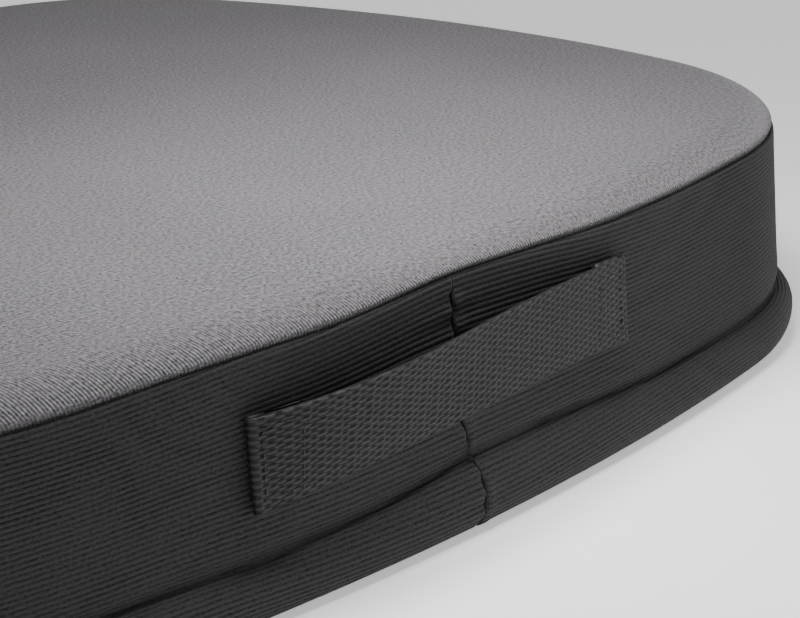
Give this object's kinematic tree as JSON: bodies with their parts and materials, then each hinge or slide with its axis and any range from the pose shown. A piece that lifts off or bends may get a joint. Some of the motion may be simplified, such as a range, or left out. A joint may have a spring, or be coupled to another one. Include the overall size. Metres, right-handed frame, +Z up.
{
  "type": "lumbar support cushion",
  "caption": "Flat foam support cushion in a sewn cover: grey velour top, charcoal ribbed band flaring over a wider base lip, webbing carry handle and rear zip.",
  "frame": {"origin": "on the floor under the middle of the cushion", "axes": "+X along the handle edge, -Y out of the handle edge, +Z up out of the velour top"},
  "size_m": [0.5196, 0.4, 0.075],
  "materials": {
    "foam": "open-cell foam",
    "velour": "fine-ribbed grey velour",
    "rib_knit": "charcoal ribbed knit",
    "grip_fabric": "black knit with raised grip dots",
    "webbing": "charcoal woven webbing",
    "thread": "spun sewing thread",
    "label_cloth": "blank woven label",
    "zip_tape": "black woven tape",
    "nylon": "black nylon coil",
    "tab_cloth": "charcoal cloth",
    "painted_zinc": "black painted zinc, satin"
  },
  "bodies": {
    "cushion": {"foam_upper_layer": "foam", "foam_base_layer": "foam", "top_panel": "velour", "side_band_left": "rib_knit", "side_band_right": "rib_knit", "zip_band_upper": "rib_knit", "zip_band_lower": "rib_knit", "bottom_panel": "grip_fabric", "top_seam_thread": "thread", "care_label": "label_cloth", "handle_webbing": "webbing", "handle_stitch_left": "thread", "handle_stitch_right": "thread", "zip_tape_upper": "zip_tape", "zip_tape_lower": "zip_tape", "zip_coil_upper": "nylon", "zip_coil_lower": "nylon", "zip_stop_closed": "painted_zinc", "zip_stop_open": "painted_zinc", "zip_tab_left": "tab_cloth", "zip_tab_right": "tab_cloth"},
    "slider": {"zip_slider": "painted_zinc"},
    "pull": {"zip_pull": "painted_zinc"}
  },
  "joints": [
    {"name": "zip_slide", "type": "slide", "parent": "cushion", "child": "slider", "axis": [1, 0, 0], "range_m": [0, 0.244]},
    {"name": "pull_hinge", "type": "hinge", "parent": "slider", "child": "pull", "pos_m": [-0.12199, 0.19384, 0.042], "axis": [0, 0, 1], "range_deg": [0, 180]}
  ]
}
